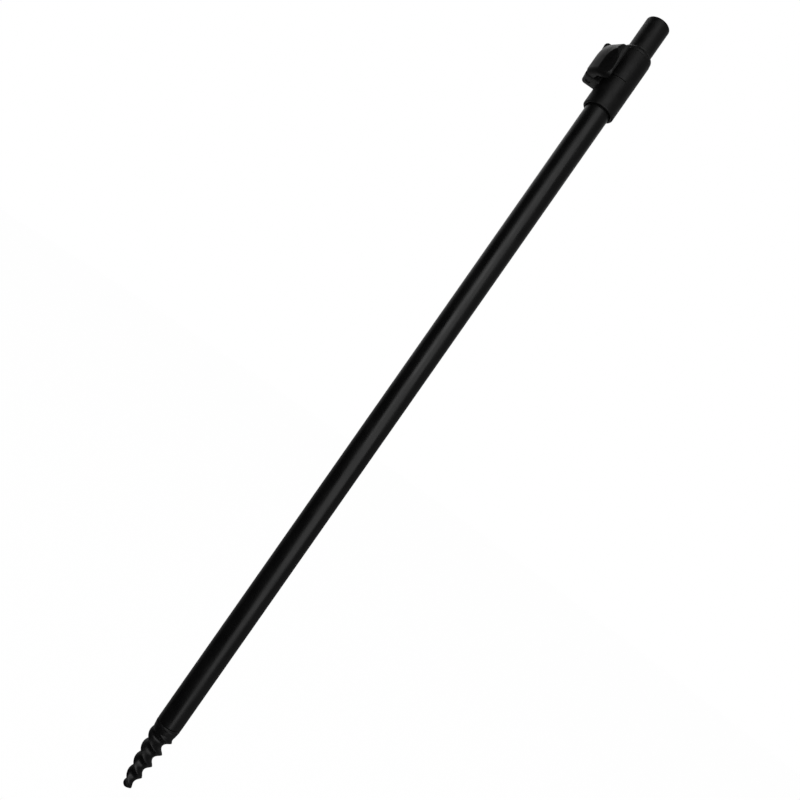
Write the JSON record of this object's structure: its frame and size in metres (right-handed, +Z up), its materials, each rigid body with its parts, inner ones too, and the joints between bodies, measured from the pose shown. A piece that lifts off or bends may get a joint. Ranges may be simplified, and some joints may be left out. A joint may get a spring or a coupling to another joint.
{
  "type": "telescopic bank stick",
  "caption": "Telescopic screw-in bank stick: twisted ground point, outer tube, clamp collar with flip lever, and inner tube with a threaded head for a rod rest.",
  "frame": {"origin": "the very tip of the screw point, on the stick's axis", "axes": "+Z up the stick from the point to the head, -X towards the collar's lug and the lever's pin, -Y towards the lever's face"},
  "size_m": [0.03, 0.0284, 0.5546],
  "materials": {
    "tube_finish": "satin black powder coat with a fine grain",
    "point_finish": "semi-matt black coat, worn on the crests of the flights",
    "plain_metal": "plain turned",
    "collar_finish": "black moulded, fine grain",
    "bush_finish": "black nylon, satin",
    "lever_finish": "black moulded, semi-gloss",
    "pin_steel": "drawn steel",
    "pad_nylon": "black nylon",
    "inner_finish": "satin black, lightly rubbed along its length",
    "head_finish": "satin black",
    "insert_brass": "turned brass with a cut thread",
    "plug_nylon": "black nylon",
    "guide_nylon": "natural nylon"
  },
  "bodies": {
    "stick": {"outer_tube": "tube_finish", "screw_point": "point_finish", "point_socket": "plain_metal", "collar": "collar_finish", "collar_bush": "bush_finish", "lever_pin": "pin_steel"},
    "flip_lever": {"lever": "lever_finish"},
    "pad": {"pressure_pad": "pad_nylon"},
    "guide": {"guide_ring": "guide_nylon"},
    "inner_section": {"inner_tube": "inner_finish", "head": "head_finish", "head_insert": "insert_brass", "inner_plug": "plug_nylon", "guide_retainer": "pin_steel"}
  },
  "joints": [
    {"name": "inner_slide", "type": "slide", "parent": "stick", "child": "guide", "axis": [0, 0, 1], "range_m": [0, 0.35]},
    {"name": "inner_swivel", "type": "hinge", "parent": "guide", "child": "inner_section", "pos_m": [0, 0, 0.15], "axis": [0, 0, 1], "continuous": true},
    {"name": "lever_flip", "type": "hinge", "parent": "stick", "child": "flip_lever", "pos_m": [-0.0155, 0, 0.51505], "axis": [0, 0, -1], "range_deg": [0, 110]},
    {"name": "pad_release", "type": "slide", "parent": "stick", "child": "pad", "axis": [-1, 0, 0], "range_m": [0, 0.0006]}
  ],
  "couplings": [
    {"joint": "pad_release", "follows": "lever_flip", "m_per_rad": 0.000208}
  ]
}
